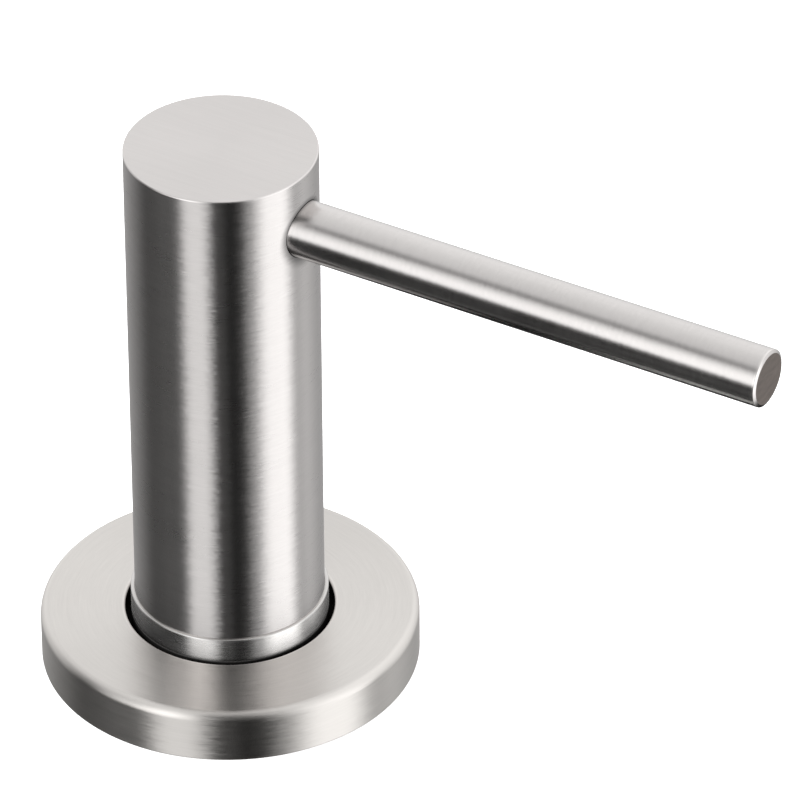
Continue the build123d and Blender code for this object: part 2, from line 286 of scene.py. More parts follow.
# =====================================================================  materials
def steel(name, axis="Z", centre=(0, 0, 0), base=(0.66, 0.637, 0.625), rough=0.28, aniso=0.84, rot=0.25,
          streak=(2.0, 0.14), bump=2.0e-6, rough_var=0.05, tint_var=0.05, polar=True, tangent=True,
          jitter=(0.11, 0.07), edges=(), edge_gain=0.22, shade=None):
    """brushed stainless steel: grooves run round the axis, fine streaks that throw the reflections
    a little to the left and right, smudgy gloss changes, and edges at the circles (radius, height, width)
    in mm painted lighter and a little rougher, partly as rubbed wear and partly as a painted highlight"""
    mat, g, b = new_material(name)
    tc = g.new("ShaderNodeTexCoord")
    p = g.vmath("SUBTRACT", tc.outputs["Object"], centre)
    x, y, z = g.xyz(p)
    if axis == "X":
        x, y, z = y, z, x
    rad = g.math("SQRT", g.math("ADD", g.math("MULTIPLY", x, x), g.math("MULTIPLY", y, y)))
    safe = g.math("MAXIMUM", rad, 1e-5)
    cx, cy = g.math("DIVIDE", x, safe), g.math("DIVIDE", y, safe)
    # position along the section: changes across the grooves
    across = g.math("SUBTRACT", rad, z)
    along, fine = streak

    def grain(length, width, seed, detail=2.0):
        if polar:
            k = 14.0 / length
            v = g.vec(g.math("MULTIPLY_ADD", cx, k, seed), g.math("MULTIPLY", cy, k), g.math("MULTIPLY", across, 1000.0 / width))
        else:
            v = g.vec(g.math("MULTIPLY_ADD", x, 1000.0 / length, seed), g.math("MULTIPLY", y, 1000.0 / width),
                      g.math("MULTIPLY", z, 1000.0 / width))
        return g.noise(v, 1.0, detail, 0.55)

    n1 = grain(along, fine, 0.0)
    n2 = grain(along * 2.8, fine * 3.2, 7.3, 1.0)
    cloud = g.noise(g.vmath("SCALE", p, scale=90.0), 1.0, 3.0, 0.6)
    h = g.math("ADD", g.math("MULTIPLY", n1, 0.6), g.math("MULTIPLY", n2, 0.4))
    bmp = g.new("ShaderNodeBump")
    bmp.inputs["Strength"].default_value = 1.0
    bmp.inputs["Distance"].default_value = bump
    g.link(h, bmp.inputs["Height"])
    if polar and jitter[0] > 0:
        j1 = g.math("SUBTRACT", grain(3.0, 0.30, 3.1, 1.2), 0.5)
        j2 = g.math("SUBTRACT", grain(0.7, 0.16, 11.7, 1.0), 0.5)
        jit = g.math("ADD", g.math("MULTIPLY", j1, jitter[0]), g.math("MULTIPLY", j2, jitter[1]))
        ncy = g.math("MULTIPLY", cy, -1.0)
        t_obj = g.vec(ncy, cx, 0.0) if axis == "Z" else g.vec(0.0, ncy, cx)
        vt = g.new("ShaderNodeVectorTransform", vector_type="VECTOR", convert_from="OBJECT", convert_to="WORLD")
        g.link(t_obj, vt.inputs[0])
        geo = g.new("ShaderNodeNewGeometry")
        tilted = g.vmath("NORMALIZE", g.vmath("ADD", geo.outputs["Normal"], g.vmath("SCALE", vt.outputs[0], scale=jit)))
        g.link(tilted, bmp.inputs["Normal"])
    g.link(bmp.outputs[0], b.inputs["Normal"])
    r = g.math("ADD", g.math("MULTIPLY", g.math("SUBTRACT", h, 0.5), rough_var * 2.0),
               g.math("MULTIPLY", g.math("SUBTRACT", cloud, 0.5), rough_var))
    r = g.math("ADD", r, rough)
    lighter = tuple(min(1.0, c * (1 + tint_var)) for c in base)
    darker = tuple(c * (1 - tint_var) for c in base)
    t = g.math("ADD", g.math("MULTIPLY", h, 0.75), g.math("MULTIPLY", cloud, 0.25))
    col = g.mix(g.maprange(t, 0.3, 0.7, 0, 1), darker, lighter)
    # painted highlight, partly rubbed wear: lighter colour round each given edge circle
    for er, ez, ew in edges:
        dr_, dz_ = g.math("SUBTRACT", rad, er * MM), g.math("SUBTRACT", z, ez * MM)
        dist = g.math("SQRT", g.math("ADD", g.math("MULTIPLY", dr_, dr_), g.math("MULTIPLY", dz_, dz_)))
        broken = g.math("MULTIPLY_ADD", g.math("SUBTRACT", cloud, 0.5), ew * MM, ew * MM)
        mask = g.maprange(dist, g.math("MULTIPLY", broken, 0.35), broken, 1, 0, "SMOOTHSTEP")
        r = g.math("MULTIPLY_ADD", mask, 0.05, r)
        col = g.mix(g.math("MULTIPLY", mask, 0.9), col, tuple(min(0.97, c * (1 + edge_gain)) for c in base))
    if shade is not None:
        # painted shade: metal in a narrow gap or under a joint is painted dark and dull
        lit = shade(g, rad, z, p)
        col = g.mix(lit, tuple(c * 0.02 for c in base), col)
        g.link(g.maprange(lit, 0.0, 0.35, 0.0, 1.0), b.inputs["Metallic"])
    else:
        b.inputs["Metallic"].default_value = 1.0
    g.link(g.math("MAXIMUM", r, 0.05), b.inputs["Roughness"])
    g.link(col, b.inputs["Base Color"])
    b.inputs["Specular IOR Level"].default_value = 0.0
    b.inputs["Anisotropic"].default_value = aniso
    b.inputs["Anisotropic Rotation"].default_value = rot
    if tangent:
        tg = g.new("ShaderNodeTangent", direction_type="RADIAL", axis=axis)
        g.link(tg.outputs[0], b.inputs["Tangent"])
    return mat


def plastic(name, base, rough=0.45, grain=0.35, bump=6e-6, spec=0.5, sss=0.0, vary=0.05, cloud=0.12):
    mat, g, b = new_material(name)
    tc = g.new("ShaderNodeTexCoord")
    p = g.vmath("SCALE", tc.outputs["Object"], scale=1000.0)
    n1 = g.noise(p, 1.0 / grain, 2.0, 0.6)
    n2 = g.noise(p, 0.08, 2.0, 0.5)
    bmp = g.new("ShaderNodeBump")
    bmp.inputs["Strength"].default_value = 1.0
    bmp.inputs["Distance"].default_value = bump
    g.link(n1, bmp.inputs["Height"])
    g.link(bmp.outputs[0], b.inputs["Normal"])
    r = g.math("ADD", g.math("MULTIPLY", g.math("SUBTRACT", n1, 0.5), 0.10), g.math("MULTIPLY", g.math("SUBTRACT", n2, 0.5), cloud))
    g.link(g.math("ADD", r, rough, clamp=True), b.inputs["Roughness"])
    lo, hi = tuple(c * (1 - vary) for c in base), tuple(min(1, c * (1 + vary)) for c in base)
    g.link(g.mix(g.maprange(n2, 0.3, 0.7, 0, 1), lo, hi), b.inputs["Base Color"])
    b.inputs["Specular IOR Level"].default_value = spec
    if sss:
        b.inputs["Subsurface Weight"].default_value = sss
        b.inputs["Subsurface Radius"].default_value = (0.004, 0.004, 0.0036)
        b.inputs["Subsurface Scale"].default_value = 1.0
    return mat


M = {}


def root_shade(g, rad, z, p):
    """painted shade close round the spout's root, stronger below it"""
    px, py, pz = g.xyz(p)
    dzz = g.math("SUBTRACT", pz, 0.0793)
    d = g.math("SQRT", g.math("ADD", g.math("MULTIPLY", py, py), g.math("MULTIPLY", dzz, dzz)))
    reach = g.maprange(dzz, -0.006, 0.004, 0.0064, 0.0052)
    m = g.maprange(d, 0.0042, reach, 0.35, 1.0, "SMOOTHSTEP")
    front = g.maprange(px, 0.0, 0.004, 0.0, 1.0)
    return g.math("MAXIMUM", m, g.math("SUBTRACT", 1.0, front))


def under_shade(g, rad, z, p):
    """painted shade: the spout's underside is painted darker than its top"""
    return g.maprange(g.xyz(p)[2], -0.0022, 0.0012, 0.62, 1.0)


# painted shade: the flange's bore wall below the lip is painted dark and dull
def bore_shade(g, rad, z, p):
    inner = g.maprange(rad, 0.01562, 0.01575, 0.0, 1.0)
    return g.math("MAXIMUM", inner, g.maprange(z, 0.00805, 0.0083, 0.0, 1.0))


# painted shade: the shank is painted dark and dull from the deck up into the gap under the flange lip, fading out above
# it, and its top face is painted a little darker; below the deck it is left as it is
def gap_shade(g, rad, z, p):
    low = g.maprange(z, -0.0005, 0.0, 1.0, 0.0)
    rim = g.maprange(z, 0.01178, 0.0119, 1.0, 0.70)
    return g.math("MAXIMUM", g.math("MULTIPLY", g.maprange(z, 0.0079, 0.0088, 0.0, 1.0, "SMOOTHSTEP"), rim), low)


M["head_steel"] = steel("steel_head", jitter=(0.055, 0.058), bump=1.2e-6, rough_var=0.02, edges=[(14.0, 88.5, 0.35)], shade=root_shade)
M["top_steel"] = steel("steel_top", streak=(7.0, 0.22), polar=False, rough=0.42, aniso=0.2, bump=2e-6, tangent=False,
                       tint_var=0.035, edges=[(14.0, 88.5, 0.3)], edge_gain=0.12)
M["spout_steel"] = steel("steel_spout", axis="X", centre=(0, 0, 0.0793), streak=(2.6, 0.12), rough=0.20, aniso=0.50, bump=2e-6,
                         jitter=(0.035, 0.035), edges=[(4.25, 88.5, 0.7)], shade=under_shade)
M["tip_steel"] = steel("steel_tip", axis="X", centre=(0, 0, 0.0793), base=(0.232, 0.198, 0.178), streak=(1.2, 0.2), rough=0.40,
                       aniso=0.0, tangent=False, polar=False, bump=6e-6, tint_var=0.24)
M["flange_steel"] = steel("steel_flange", base=(0.66, 0.637, 0.612), rough=0.31, aniso=0.86, jitter=(0.06, 0.05),
                          edges=[(27.6, 8.0, 0.9), (15.6, 8.3, 0.5)], edge_gain=0.18, shade=bore_shade)
# painted highlight: the shank's steel has a lighter base colour than the head's so that it looks brighter
M["shank_steel"] = steel("steel_shank", base=(0.88, 0.86, 0.84), rough=0.26, aniso=0.7, jitter=(0.04, 0.04),
                         edges=[(14.5, 11.95, 0.4)], edge_gain=0.1, shade=gap_shade)
M["washer_steel"] = steel("steel_washer", base=(0.66, 0.65, 0.645), rough=0.34, aniso=0.5, streak=(6, 0.3),
                          edges=[(23.5, -27.0, 0.4), (23.5, -28.5, 0.4)])
M["spring_steel"] = steel("steel_spring", base=(0.7, 0.7, 0.7), rough=0.25, aniso=0.0, tangent=False, polar=False, streak=(1.0, 1.0), bump=2e-6)
M["ball_steel"] = steel("steel_ball", base=(0.78, 0.78, 0.78), rough=0.12, aniso=0.0, tangent=False, polar=False, streak=(1.0, 1.0), bump=5e-7, rough_var=0.03)
M["core_plastic"] = plastic("plastic_core", (0.035, 0.035, 0.038), 0.42)
M["pump_plastic"] = plastic("plastic_pump", (0.60, 0.61, 0.60), 0.38, sss=0.25)
M["cap_plastic"] = plastic("plastic_cap", (0.66, 0.66, 0.65), 0.36, sss=0.1)
M["nozzle_plastic"] = plastic("plastic_nozzle", (0.03, 0.03, 0.032), 0.40)
M["seal_rubber"] = plastic("rubber_seal", (0.018, 0.018, 0.019), 0.55, spec=0.35)
M["gasket_rubber"] = plastic("rubber_gasket", (0.028, 0.028, 0.028), 0.70, grain=0.5, bump=2e-5, spec=0.3)
M["nut_plastic"] = plastic("plastic_nut", (0.040, 0.041, 0.044), 0.46, grain=0.4, bump=1.2e-5)
M["bottle_plastic"] = plastic("plastic_bottle", (0.44, 0.445, 0.43), 0.30, grain=1.6, bump=1.0e-5, sss=0.06, vary=0.012, cloud=0.015)
M["tube_plastic"] = plastic("plastic_tube", (0.60, 0.62, 0.60), 0.30, sss=0.3)


# =====================================================================  mesh helpers
def mesh_object(name, verts, faces, mat, normals=None):
    me = bpy.data.meshes.new(name)
    me.from_pydata([tuple(v) for v in verts], [], faces)
    me.validate()
    me.update()
    me.materials.append(mat)
    for p in me.polygons:
        p.use_smooth = True
    ob = bpy.data.objects.new(name, me)
    scene.collection.objects.link(ob)
    return ob


def arc(cx, cz, r, a0, a1, n=6):
    """points of a small round in a profile, angles in degrees"""
    return [(cx + r * math.cos(math.radians(a0 + (a1 - a0) * i / n)),
             cz + r * math.sin(math.radians(a0 + (a1 - a0) * i / n))) for i in range(n + 1)]


def corner_rounds(pts, radii, n=5):
    """closed (r, z) outline with each corner rounded by its own radius"""
    out = []
    count = len(pts)
    for i in range(count):
        p0, p1, p2 = (Vector((*pts[(i - 1) % count], 0)), Vector((*pts[i], 0)), Vector((*pts[(i + 1) % count], 0)))
        rad = radii[i] if isinstance(radii, (list, tuple)) else radii
        a, b = (p0 - p1), (p2 - p1)
        if rad <= 0 or a.length < 1e-9 or b.length < 1e-9:
            out.append((p1.x, p1.y))
            continue
        ang = a.angle(b)
        if abs(ang - math.pi) < 0.05:
            out.append((p1.x, p1.y))
            continue
        d = min(rad / math.tan(ang / 2), a.length * 0.45, b.length * 0.45)
        rr = d * math.tan(ang / 2)
        s, e = p1 + a.normalized() * d, p1 + b.normalized() * d
        bis = (a.normalized() + b.normalized()).normalized()
        c = p1 + bis * (rr / math.sin(ang / 2))
        v0, v1 = s - c, e - c
        for k in range(n + 1):
            t = k / n
            w = (v0 * math.sin((1 - t) * (math.pi - ang)) + v1 * math.sin(t * (math.pi - ang))) / math.sin(math.pi - ang)
            out.append((c.x + w.x, c.y + w.y))
    return out


def lathe(name, outline, mat, segments=192, axis="Z", origin=(0, 0, 0), split=28.0):
    """solid of revolution from a closed (r, z) outline in mm; points with r = 0 close on the axis.
    Shading normals come from the outline, so flat faces stay flat next to small rounds."""
    P = np.array(outline, float)
    n = len(P)
    # outward normal of each outline segment (outline runs anticlockwise in r, z when area > 0)
    area2 = 0.5 * sum(P[i][0] * P[(i + 1) % n][1] - P[(i + 1) % n][0] * P[i][1] for i in range(n))
    sgn = 1.0 if area2 > 0 else -1.0
    seg = np.roll(P, -1, 0) - P
    ln = np.maximum(np.hypot(seg[:, 0], seg[:, 1]), 1e-12)
    nor = np.stack([seg[:, 1], -seg[:, 0]], 1) / ln[:, None] * sgn
    cosl = math.cos(math.radians(split))

    def vertex_normal(i, side):
        """normal at outline vertex i as used by the segment before (side -1) or after (side 0)"""
        a, b = (i - 1) % n, i
        if (nor[a] * nor[b]).sum() < cosl:
            return nor[a] if side == -1 else nor[b]
        # the longer segment is the flat one and keeps its own normal
        la, lb = ln[a], ln[b]
        if la > 4 * lb:
            v = nor[a]
        elif lb > 4 * la:
            v = nor[b]
        else:
            v = nor[a] * la + nor[b] * lb
        return v / np.hypot(*v)

    verts, index = [], []
    ang = np.linspace(0, TAU, segments, endpoint=False)
    ca, sa = np.cos(ang), np.sin(ang)
    for i in range(n):
        r, z = P[i]
        if r < 1e-7:
            index.append([len(verts)] * segments)
            verts.append((0.0, 0.0, z))
        else:
            base = len(verts)
            index.append(list(range(base, base + segments)))
            verts.extend((r * ca[k], r * sa[k], z) for k in range(segments))
    faces, loop_n = [], []
    for i in range(n):
        j = (i + 1) % n
        if P[i][0] < 1e-7 and P[j][0] < 1e-7:
            continue
        na, nb = vertex_normal(i, 0), vertex_normal(j, -1)
        for k in range(segments):
            k2 = (k + 1) % segments
            quad = [(index[i][k], k, na), (index[i][k2], k2, na), (index[j][k2], k2, nb), (index[j][k], k, nb)]
            if sgn < 0:
                quad = quad[::-1]
            if P[i][0] < 1e-7 or P[j][0] < 1e-7:
                seen, tri = set(), []
                for q in quad:
                    if q[0] not in seen:
                        seen.add(q[0])
                        tri.append(q)
                quad = tri
            faces.append([q[0] for q in quad])
            for q in quad:
                loop_n.append((q[2][0] * ca[q[1]], q[2][0] * sa[q[1]], q[2][1]))
    V = np.array(verts) * MM
    N = np.array(loop_n)
    if axis == "X":
        V = V[:, [2, 0, 1]]
        N = N[:, [2, 0, 1]]
    V = V + np.array(origin, float) * MM
    me = bpy.data.meshes.new(name)
    me.from_pydata(V.tolist(), [], faces)
    me.update()
    for p in me.polygons:
        p.use_smooth = True
    me.normals_split_custom_set(N.tolist())
    me.materials.append(mat)
    ob = bpy.data.objects.new(name, me)
    scene.collection.objects.link(ob)
    return ob


def box_profile(r0, r1, z0, z1, rad=0.3, n=4):
    """ring section with rounded corners"""
    if r0 <= 0:
        return corner_rounds([(0, z0), (r1, z0), (r1, z1), (0, z1)], [0, rad, rad, 0], n)
    return corner_rounds([(r0, z0), (r1, z0), (r1, z1), (r0, z1)], rad, n)


def put(ob, body, *nodes, slot=None):
    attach(ob, body)
    if nodes:
        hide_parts(*nodes)
    return ob


record = frame["record"]
slot_of = {s["node"]: s["material_slot"] for s in record["subparts"]}
body_of = {n: b for b, ns in record["behaviour"]["bodies"].items() for n in ns}

# every CAD node starts with its slot's material
for node, ob in frame["nodes"].items():
    ob.data.materials.clear()
    ob.data.materials.append(M[slot_of[node]])

# =====================================================================  pump head
# top disc: flat, ground flush, with a small bright edge break
disc = lathe("head_top_disc_mesh", corner_rounds(
    [(0, 86.3), (14.0, 86.3), (14.0, 88.5), (0, 88.5)], [0, 0, 0.26, 0], 6), M["head_steel"], 256)
disc.data.materials.append(M["top_steel"])
for p in disc.data.polygons:
    if p.normal.z > 0.9:
        p.material_index = 1
put(disc, "head", "head_top_disc", slot="head_steel")

tube = lathe("head_tube_mesh", corner_rounds(
    [(12.5, 6.0), (14.0, 6.0), (14.0, 86.3), (12.5, 86.3)], [0.15, 0.35, 0, 0], 4), M["head_steel"], 256)
# hole in the wall for the spout
def bore(ob, radius, depth, location, rotation):
    """cuts a round hole and applies the result"""
    cut_me = bpy.data.meshes.new("hole_cutter")
    bm = bmesh.new()
    bmesh.ops.create_cone(bm, cap_ends=True, segments=96, radius1=radius * MM, radius2=radius * MM, depth=depth * MM)
    bm.to_mesh(cut_me)
    bm.free()
    cutter = bpy.data.objects.new("hole_cutter", cut_me)
    scene.collection.objects.link(cutter)
    cutter.rotation_euler = rotation
    cutter.location = tuple(c * MM for c in location)
    bpy.context.view_layer.update()
    mod = ob.modifiers.new("hole", "BOOLEAN")
    mod.operation = "DIFFERENCE"
    mod.solver = "EXACT"
    mod.object = cutter
    bpy.context.view_layer.update()
    dg = bpy.context.evaluated_depsgraph_get()
    cut_mesh = bpy.data.meshes.new_from_object(ob.evaluated_get(dg))
    ob.modifiers.clear()
    ob.data = cut_mesh
    bpy.data.objects.remove(cutter)
    while len(ob.data.materials) > 2:
        ob.data.materials.pop()


bore(tube, 4.33, 12.0, (14.0, 0, 79.3), (0, math.radians(90), 0))


def true_normals(me, rule):
    """set corner normals from a rule(position, face normal) -> normal or None"""
    out = []
    for poly in me.polygons:
        for li in poly.loop_indices:
            v = me.vertices[me.loops[li].vertex_index].co
            w = rule(v, poly.normal)
            out.append(tuple(w if w is not None else poly.normal))
    for p in me.polygons:
        p.use_smooth = True
    me.normals_split_custom_set(out)


def tube_rule(v, fn):
    r = math.hypot(v.x, v.y)
    d = (fn.x * v.x + fn.y * v.y) / max(r, 1e-9)
    if abs(fn.z) < 0.08 and d > 0.9:
        return Vector((v.x / r, v.y / r, 0))
    if abs(fn.z) < 0.08 and d < -0.9:
        return Vector((-v.x / r, -v.y / r, 0))
    return None


true_normals(tube.data, tube_rule)
put(tube, "head", "head_tube", slot="head_steel")

# spout: round tube, closed tip with a broken edge
ro, ri = 4.25, 3.0
spout_outline = ([(ri, 5.0)] + corner_rounds([(ro, 5.0), (ro, 88.27), (3.77, 88.5), (0, 88.5)], [0, 0.08, 0.08, 0], 3)[0:] +
                 [(0, 85.9), (ri, 85.9)])
# drop the doubled first corner made by the open list
clean = []
for q in spout_outline:
    if not clean or math.hypot(q[0] - clean[-1][0], q[1] - clean[-1][1]) > 1e-6:
        clean.append(q)
spout = lathe("spout_mesh", clean, M["spout_steel"], 192, axis="X", origin=(0, 0, 79.3))
spout.data.materials.append(M["tip_steel"])
for p in spout.data.polygons:
    if p.center.x > 0.0880 and p.normal.x > 0.98:
        p.material_index = 1
bore(spout, 1.93, 3.0, (82.0, 0, 75.4), (0, 0, 0))


def spout_rule(v, fn):
    y, z = v.y, v.z - 0.0793
    r = math.hypot(y, z)
    if v.x > 0.0881 and r > 1e-6 and fn.x > 0.25:
        if fn.x > 0.98:
            return Vector((1, 0, 0))
        if fn.x > 0.82:
            return Vector((0.902, 0.432 * y / r, 0.432 * z / r))
        return None
    if r < 1e-6:
        return None
    d = (fn.y * y + fn.z * z) / r
    if d > 0.9:
        return Vector((0, y / r, z / r))
    if d < -0.9:
        return Vector((0, -y / r, -z / r))
    return None


true_normals(spout.data, spout_rule)
put(spout, "head", "spout", slot="spout_steel")

# =====================================================================  flange
fr, fb = 28.0, 15.5
flange_pts = [(fb, 6.4), (fb, 8.4), (fr, 8.4), (fr, 0.2), (25.6, 0.2), (25.6, 6.4)]
flange = lathe("flange_mesh", corner_rounds(flange_pts, [0.15, 0.35, 1.4, 0.3, 0.2, 0.8], 8)[::-1], M["flange_steel"], 256)
put(flange, "base", "flange", slot="flange_steel")


# =====================================================================  shank, thread, gasket
so_r, si_r = 14.6, 14.1
shank_pts = [(si_r, -10.0), (si_r, 10.6), (14.03, 10.8), (14.03, 12.0), (so_r, 12.0), (so_r, 4.6), (23.8, 4.6), (23.8, 2.0), (16.5, 2.0), (16.5, 0.5),
             (15.6, 0.5), (15.6, -1.0), (16.2, -1.0), (16.2, -10.0), (15.1, -10.0), (15.1, -75.4), (14.6, -76.0),
             (12.0, -76.0), (12.0, -10.0)]
shank_rad = [0.1, 0.0, 0.0, 0.08, 0.22, 0.25, 0.4, 0.3, 0.2, 0.1, 0.1, 0.1, 0.3, 0.3, 0.3, 0.15, 0.1, 0.5, 0.1]
shank = lathe("threaded_shank_mesh", corner_rounds(shank_pts, shank_rad, 4), M["shank_steel"], 192)
put(shank, "base", "threaded_shank", slot="shank_steel")


def thread_shell(name, r_core, r_crest, z0, z1, pitch, mat, segments=96, per_turn=10, inward=False, fade=1.6):
    """helical V thread with flattened crests and run-outs at both ends, as one grid of quads"""
    rows = max(8, int(round(abs(z1 - z0) / pitch * per_turn)))
    verts, faces = [], []
    for i in range(rows + 1):
        z = z0 + (z1 - z0) * i / rows
        end = min(abs(z - z0), abs(z1 - z)) / fade
        lead = min(1.0, end)
        for k in range(segments):
            th = TAU * k / segments
            ph = ((z / pitch) - k / segments) % 1.0
            tri = 1.0 - abs(2 * ph - 1.0)
            prof = min(1.0, max(0.0, (tri - 0.14) / 0.68))
            r = r_core + (r_crest - r_core) * prof * lead
            if i in (0, rows):
                r = r_core + (0.12 if inward else -0.12)
            verts.append((r * math.cos(th) * MM, r * math.sin(th) * MM, z * MM))
    for i in range(rows):
        for k in range(segments):
            k2 = (k + 1) % segments
            q = (i * segments + k, i * segments + k2, (i + 1) * segments + k2, (i + 1) * segments + k)
            faces.append(q if (z1 > z0) != inward else q[::-1])
    return mesh_object(name, verts, faces, mat)


thr = thread_shell("shank_thread", 15.12, 16.0, -75.2, -12.0, 1.5, M["shank_steel"])
put(thr, "base", "threaded_shank", slot="shank_steel")

gasket = lathe("deck_gasket_mesh", box_profile(16.55, 23.8, 0.0, 2.0, 0.35), M["gasket_rubber"], 160)
put(gasket, "base", "deck_gasket", slot="gasket_rubber")
fring = frame["nodes"]["flange_o_ring"]
for p in fring.data.polygons:
    p.use_smooth = True

# =====================================================================  clamp
rubber = lathe("rubber_washer_mesh", box_profile(16.4, 24.0, -27.0, -25.0, 0.4), M["gasket_rubber"], 160)
put(rubber, "washers", "rubber_washer", slot="gasket_rubber")
washer = lathe("steel_washer_mesh", box_profile(16.35, 23.5, -28.5, -27.0, 0.25), M["washer_steel"], 160)
put(washer, "washers", "steel_washer", slot="washer_steel")

nut_ring = lathe("nut_flange", corner_rounds([(16.3, -30.7), (23.0, -30.7), (23.0, -28.5), (16.3, -28.5)], [0, 0.7, 0.35, 0.4], 5),
                 M["nut_plastic"], 192)
put(nut_ring, "nut", "mounting_nut", slot="nut_plastic")


def lobed_body(name, z_top, z_low, mat, n_seg=360):
    """hand-grip body of the nut: ten rounded lobes joined by small fillets, rounded lower edge"""
    def radius(th):
        best = 20.5
        for i in range(10):
            a = th - TAU * i / 10
            a = (a + math.pi) % TAU - math.pi
            s = 20.1 * math.sin(a)
            if abs(s) < 2.4 and math.cos(a) > 0:
                best = max(best, 20.1 * math.cos(a) + math.sqrt(2.4 * 2.4 - s * s))
        return best
    raw = [radius(TAU * k / n_seg) for k in range(n_seg)]
    rr = [sum(raw[(k + d) % n_seg] for d in (-2, -1, 0, 1, 2)) / 5 for k in range(n_seg)]
    rr = [min(v, w) if v > 21.6 else v for v, w in zip(rr, raw)]
    levels = [(z_top, 0.0), (z_low + 0.9, 0.0), (z_low + 0.55, 0.08), (z_low + 0.26, 0.26), (z_low + 0.08, 0.55), (z_low, 0.95),
              (z_low, 3.2), (z_low + 0.05, 3.9), (z_low + 0.8, 4.05)]
    verts, faces = [], []
    for z, inset in levels:
        for k in range(n_seg):
            th = TAU * k / n_seg
            r = max(rr[k] - inset, 16.35)
            verts.append((r * math.cos(th) * MM, r * math.sin(th) * MM, z * MM))
    for i in range(len(levels) - 1):
        for k in range(n_seg):
            k2 = (k + 1) % n_seg
            faces.append((i * n_seg + k, (i + 1) * n_seg + k, (i + 1) * n_seg + k2, i * n_seg + k2))
    return mesh_object(name, verts, faces, mat)


nut_body = lobed_body("nut_grip", -30.4, -38.5, M["nut_plastic"])
put(nut_body, "nut", "mounting_nut", slot="nut_plastic")
nut_thr = thread_shell("nut_thread", 16.72, 16.07, -38.1, -28.9, 1.5, M["nut_plastic"], inward=True, fade=0.8)
put(nut_thr, "nut", "mounting_nut", slot="nut_plastic")

# =====================================================================  bottle
bo, bn, zt, zs, ze = 33.0, 18.5, -60.0, -77.0, -206.0
outer = [(bn, zt), (bn, zt - 1.6), (bn - 0.5, zt - 2.2), (bn - 0.5, zt - 12.6), (bn, zt - 13.2), (bn, zt - 15.0), (bn - 0.35, zs),
         (bn + 1.2, zs - 3.0), (bn + 6.5, zs - 7.0), (bo - 2.2, zs - 13.0), (bo, zs - 19.0), (bo, ze + 16.0), (bo - 0.45, ze + 15.2),
         (bo - 0.45, ze + 13.8), (bo, ze + 13.0), (bo, ze + 4.0), (bo - 1.2, ze + 1.2), (bo - 4.0, ze), (bo - 8.5, ze),
         (bo - 11.0, ze + 1.0), (0, ze + 1.35)]
inner = [(0, ze + 2.2), (bo - 11.0, ze + 2.0), (bo - 4.6, ze + 1.4), (bo - 2.6, ze + 2.6), (bo - 1.4, ze + 4.4), (bo - 1.4, zs - 19.2),
         (bo - 3.6, zs - 13.5), (bn + 5.6, zs - 8.1), (bn - 1.4, zs - 3.6), (16.05, zs), (16.05, zt)]
radii = [0.3, 0.15, 0.15, 0.15, 0.15, 0.3, 0.6, 2.5, 5.0, 5.0, 6.0, 0.3, 0.2, 0.2, 0.3, 3.0, 2.0, 1.0, 1.2, 1.5, 0,
         0, 1.0, 1.0, 1.0, 2.0, 4.0, 4.0, 4.0, 2.0, 0.5, 0.3]
bottle = lathe("bottle_mesh", corner_rounds(outer + inner, radii, 6)[::-1], M["bottle_plastic"], 240)
# mould parting line down both sides
for v in bottle.data.vertices:
    r = math.hypot(v.co.x, v.co.y)
    if r > 16.6 * MM and v.co.z < zt * MM - 0.0165 and v.co.z > ze * MM + 0.001 and abs(v.co.y) < 0.5 * MM and r > 18 * MM:
        k = 0.10 * MM * (1 - abs(v.co.y) / (0.5 * MM)) / r
        if v.co.z < -0.097 or r > bo * MM - 0.004:
            v.co.x *= 1 - k * 1.2
put(bottle, "soap_bottle", "bottle", slot="bottle_plastic")

# =====================================================================  pump cartridge
cap_pts = [(11.8, -13.0), (11.8, -9.0), (14.0, -9.0), (14.0, -6.6), (10.5, -6.6), (10.5, 4.0), (3.1, 4.0), (3.1, -0.45),
           (8.5, -0.45), (8.5, -13.0)]
cap_rad = [0.3, 0.1, 0.3, 0.5, 0.4, 0.8, 0.4, 0.1, 0.1, 0.2]
cap = lathe("pump_cap_mesh", corner_rounds(cap_pts, cap_rad, 5), M["cap_plastic"], 160)
put(cap, "cartridge", "pump_cap", slot="cap_plastic")
cgask = lathe("cartridge_gasket_mesh", box_profile(12.2, 14.0, -10.0, -9.0, 0.25), M["gasket_rubber"], 128)
put(cgask, "cartridge", "cartridge_gasket", slot="gasket_rubber")
ch_pts = [(6.5, -2.3), (8.4, -2.3), (8.4, -48.5), (5.2, -51.5), (3.4, -51.5), (3.4, -53.6), (2.15, -53.6), (2.15, -57.4), (1.85, -58.0),
          (1.3, -58.0), (1.3, -48.7), (2.0, -46.5), (6.5, -46.5)]
ch_rad = [0.2, 0.3, 0.8, 0.6, 0.4, 0.15, 0.1, 0.1, 0.1, 0.1, 0.2, 0.2, 0.3]
chamber = lathe("pump_chamber_mesh", corner_rounds(ch_pts[::-1], ch_rad[::-1], 5), M["pump_plastic"], 128)
put(chamber, "cartridge", "pump_chamber", slot="pump_plastic")
stem = lathe("pump_stem_mesh", corner_rounds([(1.5, -6.4), (3.0, -6.4), (3.0, 60.0), (1.5, 60.0)], [0.1, 0.2, 0.5, 0.15], 5),
             M["pump_plastic"], 96)
put(stem, "plunger", "pump_stem", slot="pump_plastic")


